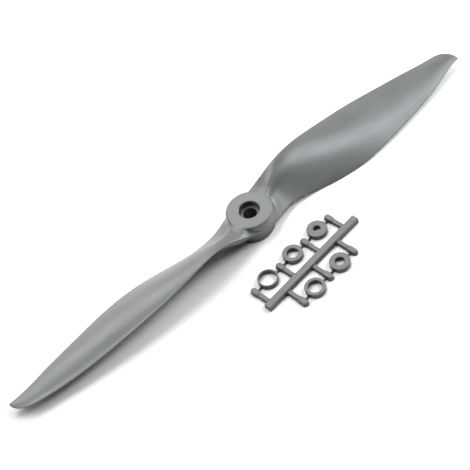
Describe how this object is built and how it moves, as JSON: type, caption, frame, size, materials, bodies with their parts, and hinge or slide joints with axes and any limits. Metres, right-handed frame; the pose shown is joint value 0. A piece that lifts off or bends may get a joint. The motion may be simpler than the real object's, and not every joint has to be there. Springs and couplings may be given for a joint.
{
  "type": "model aircraft propeller",
  "caption": "Two-blade moulded propeller with a recessed hub, and a sprue of adapter rings that fit it to different motor shafts.",
  "frame": {"origin": "on the shaft axis, in the hub's rear face", "axes": "+Z along the shaft axis out of the front face, +X out along one blade"},
  "size_m": [0.254, 0.063, 0.0156],
  "materials": {
    "blade_nylon": "satin glass-filled nylon",
    "ring_nylon": "dull glass-filled nylon"
  },
  "bodies": {
    "propeller": {"propeller": "blade_nylon"},
    "ring_sprue": {"ring_sprue": "ring_nylon"},
    "adapter_ring_7_5mm": {"adapter_ring_7_5mm": "ring_nylon"},
    "adapter_ring_5mm": {"adapter_ring_5mm": "ring_nylon"},
    "adapter_ring_3mm": {"adapter_ring_3mm": "ring_nylon"},
    "adapter_ring_6mm": {"adapter_ring_6mm": "ring_nylon"},
    "adapter_ring_4mm": {"adapter_ring_4mm": "ring_nylon"}
  },
  "joints": [
    {"name": "sprue_lift", "type": "slide", "parent": "propeller", "child": "ring_sprue", "axis": [0, 0, 1], "range_m": [0, 0.05]},
    {"name": "ring_7_5mm_release", "type": "slide", "parent": "ring_sprue", "child": "adapter_ring_7_5mm", "axis": [0, 0, 1], "range_m": [0, 0.02]},
    {"name": "ring_5mm_release", "type": "slide", "parent": "ring_sprue", "child": "adapter_ring_5mm", "axis": [0, 0, 1], "range_m": [0, 0.02]},
    {"name": "ring_3mm_release", "type": "slide", "parent": "ring_sprue", "child": "adapter_ring_3mm", "axis": [0, 0, 1], "range_m": [0, 0.02]},
    {"name": "ring_6mm_release", "type": "slide", "parent": "ring_sprue", "child": "adapter_ring_6mm", "axis": [0, 0, 1], "range_m": [0, 0.02]},
    {"name": "ring_4mm_release", "type": "slide", "parent": "ring_sprue", "child": "adapter_ring_4mm", "axis": [0, 0, 1], "range_m": [0, 0.02]}
  ]
}
